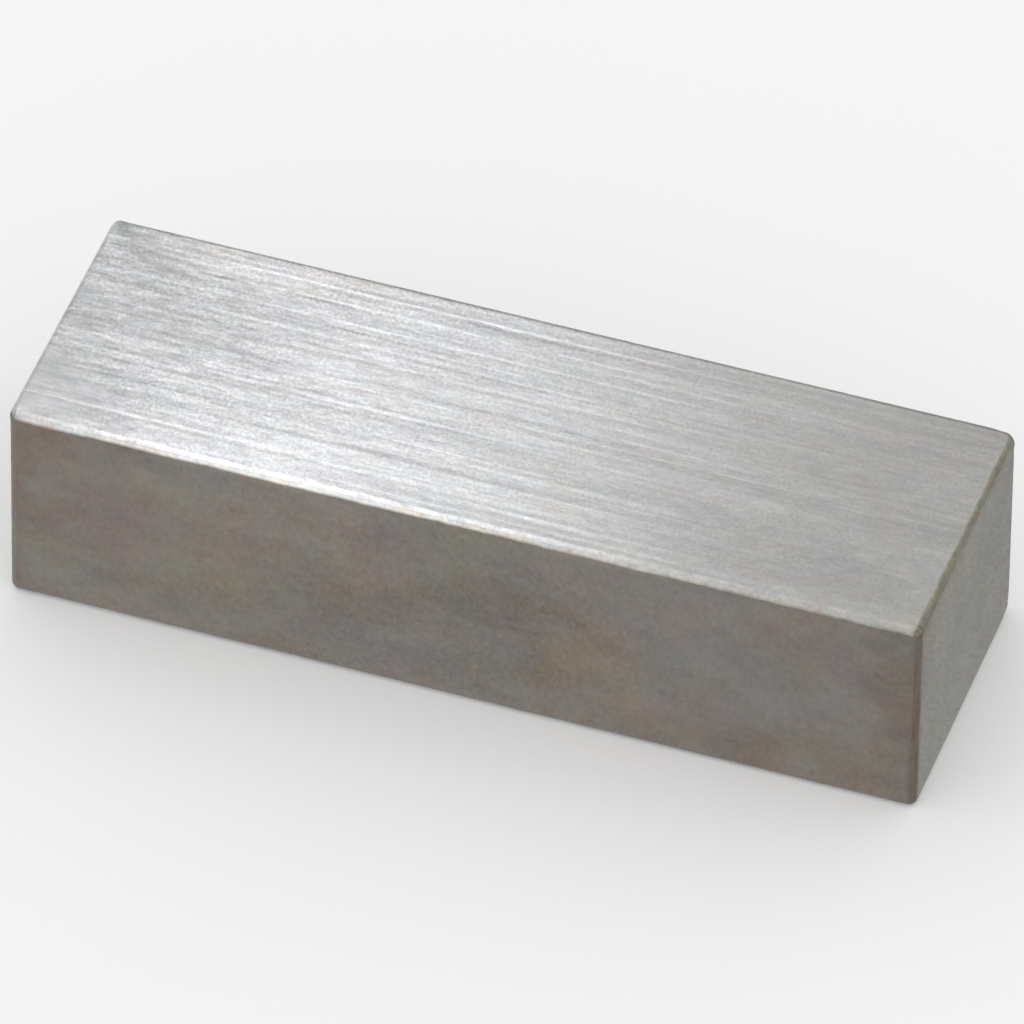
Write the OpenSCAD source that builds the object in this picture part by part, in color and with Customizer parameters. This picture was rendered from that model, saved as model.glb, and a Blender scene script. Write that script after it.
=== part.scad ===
// Rectangular gauge block (slip gauge), solid hardened steel, resting on a side face.
//
// The block is one piece. X is the long side of its section, Y is the gauging
// direction and Z points up. The two measuring faces are the planes at
// Y = -nominal/2 and Y = +nominal/2: they are lapped flat, parallel and bright, so
// that two blocks wring together. The four side faces are ground. Every edge is
// broken with a small even round, which ends in a ball at each of the eight corners,
// so that no burr lifts a block off the face that it is wrung to.

/* [Measuring length] */
// Distance between the two measuring faces, mm
nominal = 11.5; // [10.5:0.5:25]

/* [Section] */
// Long side of the measuring faces, mm: the 35 mm section, limits 34.7 to 35
section_long = 35; // [34.7:0.05:35]
// Short side of the measuring faces, mm: the 9 mm section, limits 8.8 to 8.95
section_short = 8.8; // [8.8:0.01:8.95]

/* [Edges] */
// Radius of the round on all twelve edges, mm: 0.3 is the most that is allowed
edge_r = 0.3; // [0.1:0.05:0.3]

/* [Hidden] */
$fn = 48;

// Half sizes of the box that joins the eight corner ball centres.
hx = section_long / 2 - edge_r;
hy = nominal / 2 - edge_r;
hz = section_short / 2 - edge_r;

// A box of the given size, centred on the origin.
module slab(x, y, z) {
    cube([x, y, z], center = true);
}

// The three slabs that carry the six flat faces, each drawn in by the edge
// radius from the edges that run round it.
module flat_faces() {
    slab(2 * hx, 2 * hy, section_short);
    slab(2 * hx, nominal, 2 * hz);
    slab(section_long, 2 * hy, 2 * hz);
}

// The four edge rounds that run along X, then along Y, then along Z.
module edge_rounds() {
    for (y = [-hy, hy], z = [-hz, hz])
        translate([0, y, z]) rotate([0, 90, 0])
            cylinder(r = edge_r, h = 2 * hx, center = true);
    for (x = [-hx, hx], z = [-hz, hz])
        translate([x, 0, z]) rotate([90, 0, 0])
            cylinder(r = edge_r, h = 2 * hy, center = true);
    for (x = [-hx, hx], y = [-hy, hy])
        translate([x, y, 0])
            cylinder(r = edge_r, h = 2 * hz, center = true);
}

// The eight corner balls, where three edge rounds meet.
module corner_balls() {
    for (x = [-hx, hx], y = [-hy, hy], z = [-hz, hz])
        translate([x, y, z]) sphere(r = edge_r);
}

// The whole block, standing on its lower side face with the origin in the
// middle of that face.
module gauge_block() {
    color([0.66, 0.66, 0.65])
        translate([0, 0, section_short / 2])
            union() {
                flat_faces();
                edge_rounds();
                corner_balls();
            }
}

gauge_block();
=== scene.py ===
"""Rectangular steel gauge block lying on a side face: finish, light and camera."""
import math

import bpy
import numpy as np
from mathutils import Matrix, Vector, noise


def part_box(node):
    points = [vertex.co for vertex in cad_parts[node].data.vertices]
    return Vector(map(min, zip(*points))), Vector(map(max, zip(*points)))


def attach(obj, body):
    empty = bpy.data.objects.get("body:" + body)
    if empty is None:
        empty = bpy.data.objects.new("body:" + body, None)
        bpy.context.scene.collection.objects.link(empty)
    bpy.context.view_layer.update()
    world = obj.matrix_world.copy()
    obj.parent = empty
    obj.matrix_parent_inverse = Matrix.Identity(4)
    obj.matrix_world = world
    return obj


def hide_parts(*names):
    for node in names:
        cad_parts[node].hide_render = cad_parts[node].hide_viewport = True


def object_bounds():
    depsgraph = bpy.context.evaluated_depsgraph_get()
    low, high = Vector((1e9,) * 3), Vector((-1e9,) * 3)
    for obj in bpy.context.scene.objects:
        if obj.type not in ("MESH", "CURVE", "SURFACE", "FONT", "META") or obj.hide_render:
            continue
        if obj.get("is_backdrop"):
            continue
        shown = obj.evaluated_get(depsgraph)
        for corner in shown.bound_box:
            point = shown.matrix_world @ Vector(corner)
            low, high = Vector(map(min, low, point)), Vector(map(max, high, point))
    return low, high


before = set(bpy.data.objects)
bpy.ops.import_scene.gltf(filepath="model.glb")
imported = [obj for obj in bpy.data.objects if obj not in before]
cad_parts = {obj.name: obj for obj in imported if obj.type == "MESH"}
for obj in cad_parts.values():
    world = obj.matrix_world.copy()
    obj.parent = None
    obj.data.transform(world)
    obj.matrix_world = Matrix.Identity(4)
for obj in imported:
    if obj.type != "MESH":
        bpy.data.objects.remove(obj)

scene = bpy.context.scene
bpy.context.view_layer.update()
MM = 0.001


# ------------------------------------------------------------------ node help
class Tree:
    """Short forms for the nodes that the materials below are made of."""

    def __init__(self, tree):
        self.t = tree
        self.t.nodes.clear()

    def node(self, kind, **settings):
        n = self.t.nodes.new(kind)
        for key, value in settings.items():
            setattr(n, key, value)
        return n

    def put(self, socket, value):
        if isinstance(value, bpy.types.NodeSocket):
            self.t.links.new(value, socket)
        else:
            socket.default_value = value

    def math(self, op, a, b=0.0, c=0.0, clamp=False):
        n = self.node("ShaderNodeMath", operation=op, use_clamp=clamp)
        for socket, value in zip(n.inputs, (a, b, c)):
            self.put(socket, value)
        return n.outputs[0]

    def vec(self, op, a, b=(0, 0, 0), scale=None):
        n = self.node("ShaderNodeVectorMath", operation=op)
        self.put(n.inputs[0], a)
        if op not in ("SCALE", "NORMALIZE"):
            self.put(n.inputs[1], b)
        if scale is not None:
            self.put(n.inputs["Scale"], scale)
        return n.outputs["Value"] if op == "DOT_PRODUCT" else n.outputs[0]

    def split(self, v):
        n = self.node("ShaderNodeSeparateXYZ")
        self.put(n.inputs[0], v)
        return n.outputs[0], n.outputs[1], n.outputs[2]

    def join(self, x, y, z):
        n = self.node("ShaderNodeCombineXYZ")
        for socket, value in zip(n.inputs, (x, y, z)):
            self.put(socket, value)
        return n.outputs[0]

    def ramp(self, value, lo, hi, to_lo=0.0, to_hi=1.0, smooth=True):
        n = self.node("ShaderNodeMapRange", clamp=True)
        n.interpolation_type = "SMOOTHSTEP" if smooth else "LINEAR"
        for name, v in (("Value", value), ("From Min", lo), ("From Max", hi), ("To Min", to_lo), ("To Max", to_hi)):
            self.put(n.inputs[name], v)
        return n.outputs["Result"]

    def noise(self, vector, scale=1.0, detail=2.0, rough=0.5, distort=0.0):
        n = self.node("ShaderNodeTexNoise", noise_dimensions="3D")
        self.put(n.inputs["Vector"], vector)
        for name, v in (("Scale", scale), ("Detail", detail), ("Roughness", rough), ("Distortion", distort)):
            self.put(n.inputs[name], v)
        return n.outputs[0]

    def mix(self, factor, a, b, blend="MIX"):
        n = self.node("ShaderNodeMix", data_type="RGBA", blend_type=blend)
        self.put(n.inputs[0], factor)
        self.put(n.inputs[6], a)
        self.put(n.inputs[7], b)
        return n.outputs[2]

    def total(self, start, *terms):
        """start plus the sum of value * weight over the (value, weight) terms."""
        for value, weight in terms:
            start = self.math("MULTIPLY_ADD", value, weight, start)
        return start

    def streaks(self, mm, scale, seed, detail=2.0, rough=0.5):
        """Noise about zero with its own scale along X, Y and Z, in features per millimetre."""
        moved = self.vec("ADD", self.vec("MULTIPLY", mm, scale), (seed * 7.3, seed * 3.1, seed * 5.7))
        return self.math("SUBTRACT", self.noise(moved, detail=detail, rough=rough), 0.5)

    def spot(self, mm, at, reach):
        """1 at the point at, falling to 0 on an ellipsoid with the half axes reach, in millimetres."""
        n = self.node("ShaderNodeVectorMath", operation="MULTIPLY_ADD")
        self.put(n.inputs[0], mm)
        self.put(n.inputs[1], tuple(1 / r for r in reach))
        self.put(n.inputs[2], tuple(-c / r for c, r in zip(at, reach)))
        return self.ramp(self.vec("DOT_PRODUCT", n.outputs[0], n.outputs[0]), 1.0, 0.0)


def rgba(r, g, b):
    return (r, g, b, 1.0)


# --------------------------------------------------------------------- camera
cam_data = bpy.data.cameras.new("camera")
cam = bpy.data.objects.new("camera", cam_data)
scene.collection.objects.link(cam)
cam_data.sensor_width = 36.0
cam_data.lens = 576.874
cam_data.clip_start, cam_data.clip_end = 0.01, 10.0
cam.location = (0.138618131, -0.419040826, 0.412312801)
cam.rotation_mode = "XYZ"
cam.rotation_euler = (0.8246031904, -0.0112006415, 0.3297750655)
scene.camera = cam

scene.view_settings.view_transform = "Standard"
scene.view_settings.look = "None"
scene.view_settings.exposure = 0.0
scene.view_settings.gamma = 1.0


# ---------------------------------------------------------------- block: mesh
# The skin is six grids, one for each face with the near half of the rounds that
# run along its sides. They meet on the middle line of each edge. The section of
# an edge is a superellipse: rounder than a chamfer, flatter than a quarter
# circle, as an edge that was broken with a stone is.
lo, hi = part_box("gauge_block")
CENTRE = np.array(((lo.x + hi.x) / 2, (lo.y + hi.y) / 2, (lo.z + hi.z) / 2))
HALF = np.array(((hi.x - lo.x) / 2, (hi.y - lo.y) / 2, (hi.z - lo.z) / 2))
SETBACK = 0.28 * MM      # nominal setback of an edge from the box's corner line
POWER = 1.35             # the superellipse's exponent on most edges
BORDER = 8               # segments in half of an edge's section
FLATS = (200, 60, 44)    # segments along the flat part of X, Y and Z

# Each edge's setback in millimetres at its low and high end, its exponent and
# how uneven it is: the hand-stoned edges differ a little. The key is the edge's
# axis, then the signs of the other two axes in order.
EDGES = {
    (0, -1, +1): (0.28, 0.26, 1.60, 0.7), (0, -1, -1): (0.28, 0.26, 1.50, 0.2),
    (0, +1, +1): (0.34, 0.36, 1.90, 0.2), (0, +1, -1): (0.27, 0.28, 1.50, 0.2),
    (1, +1, +1): (0.27, 0.20, 1.60, 0.8), (1, -1, +1): (0.22, 0.22, 1.50, 0.2),
    (1, +1, -1): (0.27, 0.26, 1.60, 0.2), (1, -1, -1): (0.26, 0.28, 1.50, 0.2),
    (2, +1, -1): (0.34, 0.32, 1.80, 0.4), (2, -1, -1): (0.26, 0.34, 1.60, 0.2),
    (2, +1, +1): (0.34, 0.46, 1.90, 0.2), (2, -1, +1): (0.28, 0.30, 1.60, 0.2),
}
# Corners that the stone took further, by the signs of their place: how far past
# the edges, and over what reach, both in millimetres.
CORNERS = {(+1, +1, +1): (0.09, 0.4), (+1, +1, -1): (0.11, 0.5)}


def section(c):
    """Setback in metres and exponent at c, a point of the inner box in metres from the block's centre."""
    r = power = uneven = weights = 0.0
    for (axis, s1, s2), (at_lo, at_hi, exponent, how) in EDGES.items():
        i, j = [k for k in range(3) if k != axis]
        away = (c[i] - s1 * (HALF[i] - SETBACK)) ** 2 + (c[j] - s2 * (HALF[j] - SETBACK)) ** 2
        w = 1.0 / (away / (0.6 * MM) ** 2 + 0.02) ** 2
        f = (c[axis] / HALF[axis] + 1) / 2
        r += w * (at_lo + (at_hi - at_lo) * f)
        power += w * exponent
        uneven += w * how
        weights += w
    r, power, uneven = r / weights, power / weights, uneven / weights
    for signs, (more, reach) in CORNERS.items():
        away = sum((v - s * (h - SETBACK)) ** 2 for v, s, h in zip(c, signs, HALF))
        r += more * math.exp(-away / (reach * MM) ** 2)
    q = Vector(c) * 1000
    r += 0.026 * uneven * noise.noise(q * 0.45 + Vector((11, 3, 5)))
    r += 0.050 * uneven * noise.noise(q * 1.3 + Vector((2, 17, 8)))
    r += 0.042 * uneven * noise.noise(q * 2.9 + Vector((7, 1, 23)))
    return min(r, 0.54) * MM, power


def lines(axis):
    """The grid lines across one axis of a face: (place on the flat from -1 to 1, tangent of the lean, length run)."""
    n, out = FLATS[axis], []
    lean = [math.tan(math.pi / 4 * k / BORDER) ** (1 / (POWER - 1)) for k in range(BORDER + 1)]
    arc = SETBACK * 0.86
    flat = 2 * (HALF[axis] - SETBACK)
    for k in range(BORDER, 0, -1):
        out.append((-1.0, -lean[k], -flat / 2 - arc * k / BORDER))
    for k in range(n + 1):
        s = -1 + 2 * k / n
        out.append((s, 0.0, s * flat / 2))
    for k in range(1, BORDER + 1):
        out.append((1.0, lean[k], flat / 2 + arc * k / BORDER))
    return out


FACES = [(2, +1), (2, -1), (1, -1), (1, +1), (0, -1), (0, +1)]
GROUND, LAPPED, ENDS, STONED = range(4)
KIND = {2: GROUND, 1: LAPPED, 0: ENDS}

points, normals, quads, kinds, bake_uv, lay_uv = [], [], [], [], [], []
# Islands of the bake map, in millimetres from its corner: four long strips, one
# above another, and the two ends in a column beside them.
GAP = 0.4
runs = [2 * (HALF[a] - SETBACK) / MM + 2 * 0.86 * SETBACK / MM for a in range(3)]
SIDE = runs[0] + runs[2] + 3 * GAP
place, y = {}, GAP
for face in FACES[:4]:
    tall = runs[1] if face[0] == 2 else runs[2]
    place[face] = (GAP + runs[0] / 2, y + tall / 2)
    y += tall + GAP
y = GAP
for face in FACES[4:]:
    place[face] = (2 * GAP + runs[0] + runs[2] / 2, y + runs[1] / 2)
    y += runs[1] + GAP

for axis, sign in FACES:
    i, j = [k for k in range(3) if k != axis]
    if axis == 0:
        i, j = 2, 1            # the ends stand upright in the bake map
    rows_i, rows_j = lines(i), lines(j)
    first = len(points)
    u0, v0 = place[(axis, sign)]
    grid_uv = []
    for si, ti, ui in rows_i:
        for sj, tj, uj in rows_j:
            d = np.zeros(3)
            d[i], d[j], d[axis] = ti, tj, sign
            c = np.zeros(3)
            c[i], c[j], c[axis] = si * (HALF[i] - SETBACK), sj * (HALF[j] - SETBACK), sign * (HALF[axis] - SETBACK)
            r, power = section(c)
            m = d / (np.abs(d) ** power).sum() ** (1 / power)
            p = np.zeros(3)
            p[i], p[j] = si * (HALF[i] - r) + r * m[i], sj * (HALF[j] - r) + r * m[j]
            p[axis] = sign * (HALF[axis] - r) + r * m[axis]
            n = np.sign(m) * np.abs(m) ** (power - 1)
            n[i] = n[i] if ti else 0.0
            n[j] = n[j] if tj else 0.0
            points.append(CENTRE + p)
            normals.append(n / np.linalg.norm(n))
            grid_uv.append(((u0 + ui / MM) / SIDE, (v0 + uj / MM) / SIDE))
    nj = len(rows_j)
    # u runs along axis i and v along axis j, so the winding follows their order.
    straight = (sign > 0) == ((i, j) in ((0, 1), (1, 2), (2, 0)))
    for a in range(len(rows_i) - 1):
        for b in range(nj - 1):
            q = [a * nj + b, (a + 1) * nj + b, (a + 1) * nj + b + 1, a * nj + b + 1]
            if not straight:
                q.reverse()
            quads.append([first + k for k in q])
            edge_i = not BORDER <= a < len(rows_i) - 1 - BORDER
            edge_j = not BORDER <= b < nj - 1 - BORDER
            # The grinding runs on over the upper half of the edges, but for those
            # at +X, which the stone has flattened more.
            ground_on = axis == 2 and a < len(rows_i) - 1 - BORDER
            # The lapping rounds over the upright edges of its faces.
            lapped_on = axis == 1 and not edge_j
            kinds.append(STONED if (edge_i or edge_j) and not (ground_on or lapped_on) else KIND[axis])
            for k in q:
                bake_uv.append(grid_uv[k])
                # The lay map's u runs across the lay. The lay follows axis i on
                # a face, and on an edge it follows the edge.
                ui, uj = rows_i[k // nj][2], rows_j[k % nj][2]
                lay_uv.append((ui * 20, uj * 20) if edge_i and not edge_j and not ground_on else (uj * 20, ui * 20))

points, normals = np.array(points), np.array(normals)
key = np.round(points * 1e7).astype(np.int64)
_, keep, where = np.unique(key, axis=0, return_index=True, return_inverse=True)
where = where.reshape(-1)
faces = [[int(where[k]) for k in q] for q in quads]

mesh = bpy.data.meshes.new("gauge_block_skin")
mesh.from_pydata(points[keep].tolist(), [], faces)
mesh.polygons.foreach_set("material_index", np.array(kinds, np.int32))
mesh.polygons.foreach_set("use_smooth", np.ones(len(kinds), bool))
for name, data in (("OFBake", bake_uv), ("lay", lay_uv)):
    layer = mesh.uv_layers.new(name=name)
    layer.uv.foreach_set("vector", np.array(data, np.float32).ravel())
mesh.uv_layers["lay"].active_render = True
mesh.validate()
mesh.normals_split_custom_set_from_vertices(normals[keep].tolist())
block = bpy.data.objects.new("gauge_block_skin", mesh)
scene.collection.objects.link(block)
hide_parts("gauge_block")
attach(block, "root")


# ----------------------------------------------------------- block: materials
def steel(name, rough, aniso):
    mat = bpy.data.materials.new(name)
    mat.use_nodes = True
    t = Tree(mat.node_tree)
    out = t.node("ShaderNodeOutputMaterial")
    shader = t.node("ShaderNodeBsdfPrincipled")
    t.t.links.new(shader.outputs[0], out.inputs[0])
    shader.inputs["Metallic"].default_value = 1.0
    shader.inputs["Roughness"].default_value = rough
    shader.inputs["Anisotropic"].default_value = aniso
    if aniso:
        tangent = t.node("ShaderNodeTangent", direction_type="UV_MAP", uv_map="lay")
        t.t.links.new(tangent.outputs[0], shader.inputs["Tangent"])
    place = t.node("ShaderNodeTexCoord").outputs["Object"]
    mm = t.vec("SCALE", place, scale=1000.0)
    return mat, t, shader, mm


def bump(t, shader, height, distance):
    n = t.node("ShaderNodeBump")
    n.inputs["Strength"].default_value = 1.0
    n.inputs["Distance"].default_value = distance
    t.put(n.inputs["Height"], height)
    t.put(shader.inputs["Normal"], n.outputs[0])


def paint(t, shader, base, tone, warm, green):
    """The base colour, times tone, pushed towards brown by warm and towards green by green."""
    red = t.math("MULTIPLY", t.math("MULTIPLY", tone, base[0]), t.math("ADD", 1.0, warm))
    mid = t.math("MULTIPLY", t.math("MULTIPLY", tone, base[1]), t.math("ADD", 1.0, green))
    blue = t.math("MULTIPLY", t.math("MULTIPLY", tone, base[2]), t.math("SUBTRACT", 1.0, warm))
    n = t.node("ShaderNodeCombineColor")
    for socket, value in zip(n.inputs, (red, mid, blue)):
        t.put(socket, value)
    t.put(shader.inputs["Base Color"], n.outputs[0])


# Long single scratches on the upper side, light ones first: x from, x to, y, gain.
SCRATCHES = [
    (-21, 14, 4.72, 0.16), (-10, 7, 4.72, 0.16), (-21, 10, 4.00, 0.15), (-20, 12, 3.02, 0.19), (-11, 6, 2.43, 0.13),
    (-21, 0, 2.07, 0.15), (-10, 4, 1.34, 0.11), (-15, 20, -0.16, 0.19), (-3, 14, 0.33, 0.12), (-21, -8, -0.63, 0.18),
    (-11, 9, -0.63, 0.10), (-15, 4, -1.13, 0.18), (-21, -10, -1.54, 0.12), (-21, 3, -2.07, 0.16), (-9, 11, -2.72, 0.10),
    (-15, 11, -3.07, 0.12), (-22, -5, -4.32, 0.26), (-8, 10, -5.20, 0.10), (-6, -2, -3.87, 0.12), (3, 13, 2.39, 0.09),
    (-10, 8, -4.05, 0.15), (-4, 12, -4.70, 0.13), (-9, 5, -2.40, 0.12), (-2, 10, 1.75, 0.11), (-4, 12, 3.60, 0.15),
    (-12, 7, 4.50, -0.13), (-19, -12, 4.25, -0.18), (-15, -6, 3.85, -0.20), (-20, 15, 3.31, -0.10), (-11, -2, 2.63, -0.20),
    (-18, -8, 2.45, -0.10), (-17, 9, 1.86, -0.10), (-14, -5, 1.48, -0.10), (-7, 3, 1.14, -0.11), (-14, 14, 0.10, -0.12),
    (-6, 13, -0.43, -0.11), (-20, 0, -0.93, -0.14), (-15, 1, -1.30, -0.12), (-17, 7, -3.34, -0.07), (-14, -3, -4.53, -0.07),
    (-6, 3, -4.91, -0.06), (-15, -6, 5.14, -0.16), (-19, -9, -2.56, -0.11),
]
# Broad lighter and darker parts of the upper side: x, y, reach in x and y, gain.
LUSTRE = [
    (-8.5, -5.2, 7.0, 2.6, 0.08), (-10.5, 5.2, 3.0, 1.6, 0.07), (-12.0, 1.4, 5.0, 2.6, -0.06), (18.0, 1.0, 9.0, 9.0, -0.06),
    (3.0, 0.7, 17.0, 0.9, 0.05), (2.5, 4.9, 11.0, 1.2, -0.05), (-2.0, 2.3, 4.0, 1.2, -0.08), (9.5, -0.7, 7.5, 1.1, 0.04),
    (-7.5, 0.5, 1.8, 2.0, 0.07), (-15.3, 3.5, 3.0, 1.4, -0.06), (-15.5, -3.2, 3.2, 2.4, -0.06), (-16.6, 0.5, 2.0, 1.6, -0.04),
    (-7.5, -4.9, 1.7, 1.0, 0.07), (12.0, -3.7, 6.5, 1.7, -0.05), (-2.0, -1.9, 2.8, 1.2, -0.05), (-3.0, 4.9, 1.5, 0.8, -0.03),
]


def ground_sides():
    """Parallel grinding scratches along X; the third at -X is cross-scratched and speckled."""
    mat, t, shader, mm = steel("steel_ground", 0.36, 0.95)
    x, y, z = t.split(mm)
    long = t.streaks(mm, (0.045, 4.4, 1.0), 1, detail=0.0)
    soft = t.streaks(mm, (0.08, 2.7, 1.0), 2, detail=0.0)
    medium = t.streaks(mm, (0.25, 5.2, 1.0), 3, detail=0.0)
    dashes = t.streaks(mm, (1.0, 5.0, 1.0), 4, detail=0.0)
    short = t.streaks(mm, (2.6, 6.5, 1.0), 5, detail=0.0)
    grain = t.streaks(mm, (7.8, 7.0, 1.0), 6, detail=0.0)
    broad = t.streaks(mm, (0.06, 0.8, 1.0), 7, detail=1.0)
    drift = t.streaks(mm, (0.22, 0.45, 1.0), 8, detail=2.0)
    # lively falls from 1 at -X to a third at +X; worn is 1 on the third at -X only.
    lively = t.ramp(t.total(x, (drift, 9.0)), 16.0, -13.0, 0.33, 1.0)
    worn = t.ramp(t.total(x, (drift, 16.0)), 0.0, -11.0)
    calm = t.spot(mm, (-17.5, -4.4, hi.z / MM), (4.0, 3.4, 4.0))
    tone = t.total(0.0, (short, 0.36), (grain, t.total(0.52, (drift, 0.5))))
    tone = t.math("MULTIPLY", tone, t.total(0.05, (lively, t.total(1.0, (calm, -0.7)))))
    even = t.total(1.0, (calm, -0.5), (t.spot(mm, (13.5, -3.6, hi.z / MM), (9.0, 3.4, 4.0)), -0.6))
    tone = t.total(tone, (medium, t.math("MULTIPLY", even, t.math("MULTIPLY", lively, 0.32))), (broad, 0.17),
                   (dashes, t.math("MULTIPLY", even, t.total(0.12, (worn, 0.30)))),
                   (long, t.math("MULTIPLY", even, t.total(0.13, (lively, 0.20)))),
                   (soft, t.math("MULTIPLY", even, t.total(0.18, (worn, -0.13)))))
    # Thin bright lines on the middle third.
    glint = t.ramp(t.streaks(mm, (0.14, 5.6, 1.0), 13, detail=0.0), 0.10, 0.34)
    middle = t.math("MULTIPLY", even, t.spot(mm, (0.5, 0.0, hi.z / MM), (11.0, 9.0, 4.0)))
    tone = t.total(tone, (glint, t.math("MULTIPLY", middle, 0.17)))
    tone = t.total(tone, (t.math("MULTIPLY", tone, tone), 0.6))
    marks = 0.0
    at = t.vec("ADD", mm, t.join(0.0, t.math("MULTIPLY", dashes, 0.10), 0.0))
    for x0, x1, y0, gain in SCRATCHES:
        here = t.spot(at, ((x0 + x1) / 2, y0, hi.z / MM), ((x1 - x0) / 2, 0.095, 0.6))
        marks = t.total(marks, (here, gain))
    tone = t.total(tone, (marks, t.total(1.0, (t.streaks(mm, (0.9, 1.2, 1.0), 9, detail=1.0), 2.4))))
    for x0, y0, rx, ry, gain in LUSTRE:
        tone = t.total(tone, (t.spot(mm, (x0, y0, hi.z / MM), (rx, ry, 0.6)), gain))
    hair = t.vec("ADD", mm, t.join(t.math("MULTIPLY", t.math("SUBTRACT", y, 4.6), -0.19), 0.0, 0.0))
    tone = t.total(tone, (t.spot(hair, (-7.8, 4.55, hi.z / MM), (0.06, 0.95, 0.6)), -0.20))
    # The broken edges: painted shade along the far side; blotchy along the near one, with a painted highlight in its
    # middle and painted shade to its left and at its corner at +X.
    blotch = t.streaks(mm, (1.1, 1.6, 1.6), 12, detail=3.0, rough=0.7)
    tone = t.total(tone, (t.ramp(y, 5.35, 5.47), t.total(-0.31, (blotch, 0.5))),
                   (t.ramp(y, -5.43, -5.56), t.total(0.02, (blotch, 0.9))),
                   (t.spot(mm, (1.5, lo.y / MM, hi.z / MM), (7.0, 0.42, 0.6)), 0.14),
                   (t.spot(mm, (-15.2, lo.y / MM, hi.z / MM), (4.6, 0.42, 0.6)), -0.12),
                   (t.spot(mm, (hi.x / MM, lo.y / MM, hi.z / MM), (0.9, 0.45, 0.6)), -0.16))
    rim = t.ramp(x, 16.95, 17.25)
    warm = t.total(t.ramp(x, -6.0, 17.0, -0.002, 0.012), (t.streaks(mm, (0.5, 1.4, 1.0), 10, detail=3.0, rough=0.6), 0.15),
                   (tone, -0.02), (rim, 0.02), (t.spot(mm, (17.3, -5.5, hi.z / MM), (1.5, 1.1, 0.8)), 0.05),
                   (t.spot(mm, (-10.0, 5.0, hi.z / MM), (7.5, 1.3, 0.8)), 0.018))
    green = t.math("MULTIPLY", t.streaks(mm, (0.7, 2.0, 1.0), 11, detail=3.0, rough=0.7), 0.17)
    paint(t, shader, (0.60, 0.597, 0.60), t.math("ADD", tone, 1.0), warm, green)
    bump(t, shader, t.total(0.0, (medium, 1.6), (dashes, 1.0), (short, t.math("MULTIPLY", worn, 0.8))), 2.0e-6)
    return mat


# Clouds on the front measuring face: x, z, reach in x and z, gain, warmth.
CLOUDS = [
    (-9.0, 6.8, 8.0, 2.6, 0.07, 0.01), (-13.5, 3.6, 5.0, 3.4, 0.04, 0.02), (1.8, 5.2, 4.6, 1.7, -0.12, 0.03),
    (-5.6, 3.5, 3.4, 1.9, -0.07, 0.01), (2.2, 2.5, 2.2, 1.3, -0.06, -0.05), (5.4, 3.0, 2.4, 1.3, 0.03, 0.04),
    (8.5, 6.2, 4.5, 2.6, 0.03, -0.01), (10.5, 1.2, 3.6, 1.4, -0.06, 0.03), (17.8, 5.0, 2.6, 6.0, -0.09, 0.0),
    (-4.0, 1.2, 4.5, 1.8, 0.0, -0.05), (-17.5, 5.5, 3.4, 4.5, -0.02, 0.025), (-14.5, 8.2, 4.2, 1.7, -0.09, 0.03),
    (-4.0, 8.1, 3.2, 1.4, 0.11, -0.01), (12.0, 8.1, 2.5, 1.3, 0.06, 0.0), (-5.0, 5.0, 2.2, 1.2, -0.08, 0.0),
    (17.2, 3.8, 2.2, 1.7, -0.09, 0.05), (-14.5, 0.9, 3.4, 1.2, 0.06, 0.0), (-12.0, 2.3, 5.0, 1.3, 0.0, 0.05),
    (0.5, 1.0, 2.0, 1.5, -0.03, -0.07), (-2.0, 4.8, 2.0, 1.3, 0.0, 0.05), (6.0, 5.0, 2.0, 1.3, 0.0, 0.05),
    (-1.5, 3.2, 1.8, 1.2, 0.06, 0.0), (10.0, 0.9, 3.5, 1.1, -0.05, 0.0), (17.4, 0.8, 1.8, 1.8, -0.08, -0.03),
    (-11.3, 8.0, 1.8, 1.3, -0.07, -0.03), (17.2, 7.9, 1.4, 1.3, -0.07, 0.0),
    (-17.6, 7.4, 2.2, 4.0, -0.05, 0.06),
]


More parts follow.
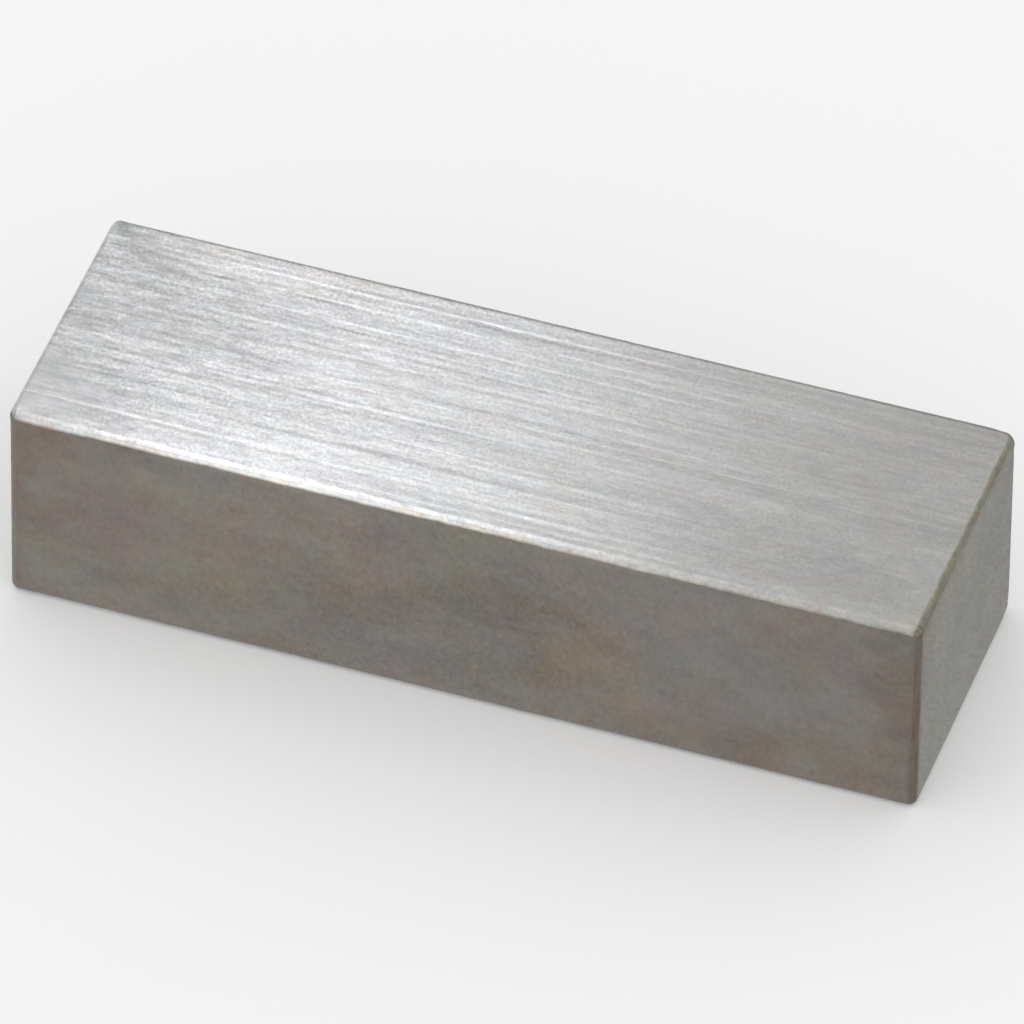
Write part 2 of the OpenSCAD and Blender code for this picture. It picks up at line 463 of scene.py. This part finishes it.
def lapped_faces():
    """Nearly smooth lapped face, with soft brownish and greenish clouds."""
    mat, t, shader, mm = steel("steel_lapped", 0.28, 0.0)
    x, y, z = t.split(mm)
    bend = t.streaks(mm, (0.5, 1.0, 0.8), 21)
    sway = t.streaks(mm, (0.4, 1.0, 0.9), 22)
    bent = t.join(t.total(x, (bend, 6.0)), y, t.total(z, (sway, 3.0)))
    cloud = t.streaks(mm, (0.16, 1.0, 0.28), 23, detail=3.0, rough=0.80)
    hue = t.streaks(mm, (0.15, 1.0, 0.22), 24, detail=5.0, rough=0.85)
    green = t.streaks(mm, (0.28, 1.0, 0.36), 25, detail=4.0, rough=0.93)
    mottle = t.streaks(mm, (3.0, 1.0, 3.0), 26, detail=1.0, rough=1.0)
    scuff = t.streaks(mm, (5.8, 1.0, 4.0), 27, detail=0.0)
    grain = t.streaks(mm, (9.0, 1.0, 9.0), 28, detail=0.0)
    fine = t.total(t.math("MULTIPLY", mottle, 0.24), (scuff, 0.13), (grain, 0.09))
    middle = t.spot(mm, (-1.0, lo.y / MM, 4.4), (11.0, 40.0, 12.0))
    tone = t.total(1.0, (cloud, 0.50), (fine, t.total(1.02, (middle, 0.40))))
    warm = t.total(0.0, (hue, 0.50))
    for x0, z0, rx, rz, gain, tint in CLOUDS:
        here = t.spot(bent, (x0, lo.y / MM, z0), (rx, 2.0, rz))
        tone, warm = t.total(tone, (here, gain)), t.total(warm, (here, tint))
    # Painted highlight and painted shade across the round at its end at +X, and a darker, browner rim at its end at -X.
    near, far = (t.spot(mm, (hi.x / MM - 0.17, lo.y / MM, 7.0), (0.11, 0.6, 3.6)),
                 t.spot(mm, (hi.x / MM - 0.30, lo.y / MM, 1.8), (0.12, 0.6, 2.4)))
    fold = t.spot(mm, (hi.x / MM - 0.18, lo.y / MM, 4.4), (0.11, 0.6, 40.0))
    end = t.ramp(x, lo.x / MM + 0.55, lo.x / MM + 0.15)
    tone = t.total(tone, (near, 0.09), (fold, 0.11), (far, -0.09), (end, -0.08),
                   # Painted highlight along the face just under its upper edge.
                   (t.spot(mm, (-8.5, lo.y / MM, hi.z / MM - 0.26), (4.0, 0.6, 0.30)), 0.13),
                   (t.spot(mm, (5.5, lo.y / MM, hi.z / MM - 0.26), (4.0, 0.6, 0.30)), 0.11))
    tone = t.total(tone, (warm, -0.45))       # the browner patches are the darker ones
    warm = t.total(warm, (end, 0.07))
    paint(t, shader, (0.527, 0.499, 0.482), tone, warm, t.math("MULTIPLY", green, 0.44))
    t.put(shader.inputs["Roughness"], t.total(0.28, (cloud, 0.10), (scuff, 0.04)))
    bump(t, shader, t.streaks(mm, (3.0, 1.0, 12.0), 29), 0.5e-6)
    return mat


def end_faces():
    """Ground end: fine scratches that lean across the face, a few dark pits."""
    mat, t, shader, mm = steel("steel_end", 0.38, 0.45)
    x, y, z = t.split(mm)
    lean = t.join(x, t.math("ADD", y, z), t.math("SUBTRACT", y, z))
    scratch = t.streaks(lean, (1.0, 5.0, 0.9), 31, detail=1.0)
    grain = t.streaks(mm, (1.0, 6.0, 6.0), 35, detail=1.0)
    cloud = t.streaks(mm, (1.0, 0.22, 0.20), 32, detail=4.0, rough=0.85)
    hue = t.streaks(mm, (1.0, 0.36, 0.34), 33, detail=4.0, rough=0.90)
    green = t.streaks(mm, (1.0, 0.30, 0.34), 36, detail=4.0, rough=0.90)
    pits = t.ramp(t.streaks(mm, (1.0, 3.6, 3.6), 34, detail=1.0), 0.19, 0.29)
    tone = t.total(1.0, (scratch, 0.40), (grain, 0.20), (cloud, 0.55), (pits, -0.22),
                   (t.spot(mm, (hi.x / MM, lo.y / MM, hi.z / MM), (1.0, 2.6, 4.6)), -0.09))
    # Browned towards the worn edges above and beside it.
    above, beside = t.ramp(z, hi.z / MM - 0.80, hi.z / MM - 0.24), t.ramp(y, lo.y / MM + 0.72, lo.y / MM + 0.34)
    tone = t.total(tone, (above, -0.10), (beside, -0.09))
    warm = t.total(0.0, (hue, 0.23), (above, 0.04), (beside, 0.01))
    paint(t, shader, (0.548, 0.548, 0.536), tone, warm, t.math("MULTIPLY", green, 0.26))
    bump(t, shader, scratch, 1.0e-6)
    return mat


def stoned_edges():
    """Edges rubbed with a stone along their length, a little browner than the faces."""
    mat, t, shader, mm = steel("steel_stoned", 0.345, 0.7)
    along = t.vec("MULTIPLY", t.node("ShaderNodeUVMap", uv_map="lay").outputs[0], (50.0, 50.0, 1.0))
    x, y, z = t.split(mm)
    rub = t.streaks(along, (8.0, 0.8, 1.0), 41)
    cloud = t.streaks(mm, (1.3, 1.3, 1.3), 42, detail=3.0, rough=0.7)
    hue = t.streaks(mm, (0.9, 0.9, 0.9), 43, detail=3.0, rough=0.8)
    green = t.streaks(mm, (1.4, 1.4, 1.4), 45, detail=2.0, rough=0.8)
    nick = t.ramp(t.streaks(mm, (3.0, 5.0, 5.0), 44, detail=1.0), 0.24, 0.34)
    # Painted shade, tinted olive, on the near corner at +X, and blotches along the two edges that meet there under the
    # upper side.
    corner_shade = t.spot(mm, (hi.x / MM - 0.12, lo.y / MM + 0.12, hi.z / MM - 0.12), (0.38, 0.38, 0.38))
    fine = t.streaks(mm, (5.5, 5.5, 5.5), 47, detail=1.0)
    behind = t.spot(mm, (hi.x / MM, 0.0, hi.z / MM), (0.7, 12.0, 0.7))
    front = t.spot(mm, (0.0, lo.y / MM, hi.z / MM), (40.0, 0.7, 0.7))
    left = t.spot(mm, (lo.x / MM, lo.y / MM, 4.4), (0.6, 0.6, 12.0))
    both = t.math("ADD", front, behind, clamp=True)
    patch = t.streaks(mm, (1.7, 1.7, 1.7), 46, detail=2.0, rough=0.8)
    speck = t.streaks(mm, (3.6, 3.6, 3.6), 48, detail=1.0, rough=0.8)
    # Painted shade and painted highlight across two rounds: from the middle line of the edge at +X up to the upper
    # side; and, painted shade only, from the middle line of the upright one below its corner round to the end face.
    up = t.math("ADD", t.math("SUBTRACT", z, hi.z / MM), t.math("SUBTRACT", hi.x / MM, x))
    upper = t.total(t.ramp(up, -0.04, 0.05, 0.05, -0.09), (t.ramp(up, 0.12, 0.22), 0.14))
    upright = t.spot(mm, (hi.x / MM, lo.y / MM, 4.4), (0.7, 0.7, 12.0))
    beside = t.math("ADD", t.math("SUBTRACT", y, lo.y / MM), t.math("SUBTRACT", x, hi.x / MM))
    tone = t.total(1.0, (rub, 0.34), (cloud, 0.34), (nick, -0.15), (corner_shade, -0.30), (left, -0.12), (behind, upper), (front, 0.05),
                   # Painted highlight along the lower half of the near upper edge.
                   (t.spot(mm, (-1.0, lo.y / MM, hi.z / MM - 0.245), (18.0, 0.3, 0.075)), 0.19),
                   (t.spot(mm, (-8.5, lo.y / MM, hi.z / MM - 0.230), (4.5, 0.3, 0.090)), 0.15),
                   (fine, 0.25), (both, t.total(t.math("MULTIPLY", patch, 0.6), (speck, 0.25))),
                   (upright, t.ramp(beside, 0.10, 0.24, 0.0, -0.12)),
                   (t.spot(mm, (hi.x / MM, lo.y / MM, 8.2), (0.7, 0.7, 4.0)), 0.09),
                   (t.spot(mm, (hi.x / MM - 0.15, lo.y / MM + 0.9, hi.z / MM), (0.55, 1.5, 0.5)), -0.12),
                   # Painted shade on the near corner at +X.
                   (t.spot(mm, (hi.x / MM - 0.22, lo.y / MM + 0.08, hi.z / MM - 0.18), (0.22, 0.22, 0.22)), -0.20),
                   (t.spot(mm, (lo.x / MM + 0.06, lo.y / MM + 0.06, hi.z / MM - 0.06), (0.42, 0.42, 0.42)), -0.34))
    warm = t.total(0.0, (hue, t.total(0.20, (both, 0.24))), (corner_shade, 0.09), (behind, 0.015), (front, 0.01),
                   (both, t.math("MULTIPLY", speck, 0.19)))
    paint(t, shader, (0.55, 0.545, 0.525), tone, warm, t.total(0.0, (green, t.total(0.12, (both, 0.14))), (corner_shade, 0.01)))
    bump(t, shader, t.total(rub, (nick, -1.5), (cloud, 4.0), (fine, 1.2)), 2.0e-6)
    return mat


for make in (ground_sides, lapped_faces, end_faces, stoned_edges):
    mesh.materials.append(make())


# ---------------------------------------------------------------------- floor
floor_mesh = bpy.data.meshes.new("floor")
ring = [(2.2 * math.cos(a), 2.2 * math.sin(a), 0.0) for a in np.linspace(0, 2 * math.pi, 97)[:-1]]
floor_mesh.from_pydata(ring, [], [list(range(96))])
floor = bpy.data.objects.new("floor", floor_mesh)
scene.collection.objects.link(floor)
floor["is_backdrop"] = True
floor.visible_glossy = False
floor_mat = bpy.data.materials.new("floor_paper")
floor_mat.use_nodes = True
ft = Tree(floor_mat.node_tree)
f_out = ft.node("ShaderNodeOutputMaterial")
f_shader = ft.node("ShaderNodeBsdfPrincipled")
ft.t.links.new(f_shader.outputs[0], f_out.inputs[0])
paper = ft.noise(ft.vec("SCALE", ft.node("ShaderNodeTexCoord").outputs["Object"], scale=60.0), detail=2.0)
ft.put(f_shader.inputs["Base Color"], ft.mix(paper, rgba(0.925, 0.925, 0.925), rgba(0.935, 0.935, 0.935)))
f_shader.inputs["Roughness"].default_value = 0.9
f_shader.inputs["Specular IOR Level"].default_value = 0.1
floor_mesh.materials.append(floor_mat)


# ---------------------------------------------------------------------- light
# The floor is lit evenly by the world. What the steel mirrors is a studio drawn
# from soft lobes: (name, azimuth, elevation, half angle where it ends, colour).
# Azimuth 0 is towards -Y and 90 towards +X.
LOBES = [
    ("zenith", 0, 90, 40, (0.77, 0.77, 0.75)),
    ("high_341", 341, 42, 38, (0.52, 0.51, 0.48)), ("high_41", 41, 42, 38, (0.55, 0.55, 0.54)),
    ("high_101", 101, 42, 38, (0.53, 0.53, 0.52)), ("high_161", 161, 42, 38, (0.39, 0.39, 0.34)),
    ("high_221", 221, 42, 38, (0.48, 0.49, 0.49)), ("high_281", 281, 42, 38, (0.54, 0.54, 0.54)),
    ("low_341", 341, 3, 45, (0.46, 0.45, 0.43)), ("low_41", 41, 3, 45, (0.45, 0.44, 0.44)),
    ("low_101", 101, 3, 45, (0.40, 0.39, 0.38)), ("low_161", 161, 3, 45, (0.25, 0.24, 0.18)),
    ("low_221", 221, 3, 45, (0.87, 0.88, 0.88)), ("low_281", 281, 3, 45, (0.60, 0.60, 0.60)),
    ("under_341", 341, -42, 38, (0.33, 0.31, 0.28)), ("under_41", 41, -42, 38, (0.22, 0.18, 0.15)),
    ("under_101", 101, -42, 38, (0.18, 0.15, 0.12)), ("under_161", 161, -42, 38, (0.45, 0.45, 0.43)),
    ("under_221", 221, -42, 38, (0.33, 0.33, 0.33)), ("under_281", 281, -42, 38, (0.33, 0.33, 0.32)),
    ("nadir", 0, -90, 40, (0.19, 0.19, 0.19)),
]
AMBIENT = (0.0, 0.0, 0.0)
world = bpy.data.worlds.new("studio")
scene.world = world
world.use_nodes = True
world.cycles.sampling_method = "NONE"  # so that every ray sees the half of the mix meant for it
w = Tree(world.node_tree)
w_out = w.node("ShaderNodeOutputWorld")
facing = w.vec("NORMALIZE", w.node("ShaderNodeTexCoord").outputs["Generated"])
total = w.node("ShaderNodeRGB", name="ambient", label="ambient").outputs[0]
total.default_value = rgba(*AMBIENT)
for name, azimuth, elevation, ends, colour in LOBES:
    az, el = math.radians(azimuth), math.radians(elevation)
    d = (math.sin(az) * math.cos(el), -math.cos(az) * math.cos(el), math.sin(el))
    strength = w.ramp(w.vec("DOT_PRODUCT", facing, d), math.cos(math.radians(ends)), 1.0)
    hue = w.node("ShaderNodeRGB", name=name, label=name).outputs[0]
    hue.default_value = rgba(*colour)
    total = w.vec("ADD", total, w.vec("SCALE", hue, scale=strength))
studio = w.node("ShaderNodeBackground")
w.put(studio.inputs[0], total)
even = w.node("ShaderNodeBackground")
even.inputs[0].default_value = rgba(1.0, 1.0, 1.0)
which = w.node("ShaderNodeMixShader")
w.put(which.inputs[0], w.node("ShaderNodeLightPath").outputs["Is Glossy Ray"])
w.t.links.new(even.outputs[0], which.inputs[1])
w.t.links.new(studio.outputs[0], which.inputs[2])
w.t.links.new(which.outputs[0], w_out.inputs[0])


def strip(name, x, angle, radiance, colour=(1.0, 1.0, 1.0), size=(0.010, 0.052), away=0.10):
    """A narrow lamp that only the steel mirrors, on an arch over the block's length; angle runs from +Y over the top."""
    data = bpy.data.lights.new(name, "AREA")
    data.shape = "RECTANGLE"
    data.size, data.size_y = size
    data.energy = radiance * math.pi * size[0] * size[1]
    data.color = colour
    lamp = bpy.data.objects.new(name, data)
    scene.collection.objects.link(lamp)
    a = math.radians(angle)
    foot = Vector((x * MM, 0.0, hi.z))
    out = Vector((-0.23, 0.973 * math.cos(a), 0.973 * math.sin(a)))
    tangent = Vector((0.0, -math.sin(a), math.cos(a)))
    side = tangent.cross(out).normalized()
    lamp.matrix_world = Matrix((side, tangent, out)).transposed().to_4x4()
    lamp.location = foot + away * out
    lamp.visible_camera = False
    lamp.visible_diffuse = False
    return lamp


strip("strip_over", -8, 68, 1.29, (1.0, 1.0, 1.10), (0.022, 0.052))
strip("strip_wide", -8, 110, 1.25, (0.94, 1.0, 1.06), (0.022, 0.052))
strip("strip_ridge", -8, 98, 1.51, (1.0, 1.0, 0.93), (0.014, 0.052))
strip("strip_low", -7.5, 157, 3.35, (0.98, 1.0, 1.06), (0.012, 0.052))


# ------------------------------------------------------------------ closing
bpy.context.view_layer.update()
lo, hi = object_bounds()
